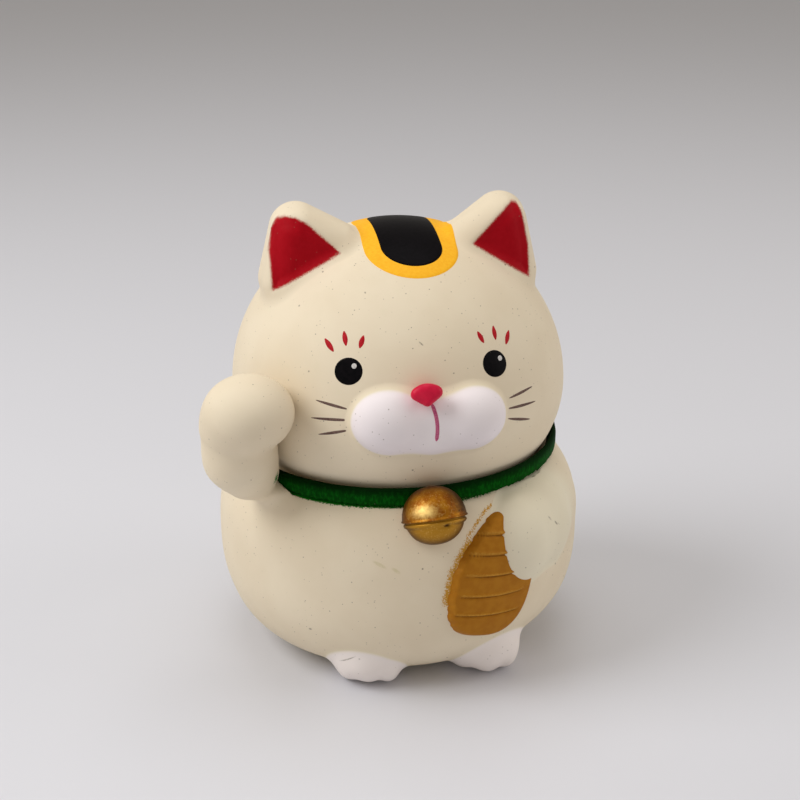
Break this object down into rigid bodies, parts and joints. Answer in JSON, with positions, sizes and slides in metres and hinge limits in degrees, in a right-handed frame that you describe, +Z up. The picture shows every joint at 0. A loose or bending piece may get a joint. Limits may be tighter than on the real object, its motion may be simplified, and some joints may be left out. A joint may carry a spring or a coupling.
{
  "type": "cat figurine",
  "caption": "Beckoning cat figurine with a turning round head, raised paw, neck band with bell, oval coin plate and flat base.",
  "frame": {"origin": "centre of the flat base face, on the neck's axis", "axes": "+Z up along the neck's axis, -Y the way the face looks at rest, -X the side of the raised arm"},
  "size_m": [0.0846, 0.0887, 0.1],
  "materials": {
    "cream_skin": "matt sprayed cream, slightly translucent",
    "white_paint": "matt sprayed white with a soft edge",
    "red_paint": "satin red paint",
    "green_paint": "brushed dark green paint",
    "coin_gold": "dull ochre gold paint",
    "bell_gold": "worn bronze gold paint",
    "stopper_rubber": "soft pale rubber"
  },
  "bodies": {
    "body": {"body_shell": "cream_skin", "raised_arm": "cream_skin", "left_arm": "cream_skin", "koban": "coin_gold", "collar": "green_paint", "bell": "bell_gold", "right_foot": "white_paint", "left_foot": "white_paint", "tail": "cream_skin"},
    "head": {"head_shell": "cream_skin", "right_ear": "cream_skin", "left_ear": "cream_skin", "muzzle": "white_paint", "nose": "red_paint"},
    "stopper": {"base_stopper": "stopper_rubber"}
  },
  "joints": [
    {"name": "head_turn", "type": "hinge", "parent": "body", "child": "head", "pos_m": [0, 0, 0.0305], "axis": [0, 0, 1], "range_deg": [-10, 255]},
    {"name": "stopper_pull", "type": "slide", "parent": "body", "child": "stopper", "axis": [0, 0, -1], "range_m": [0, 0.012]}
  ]
}
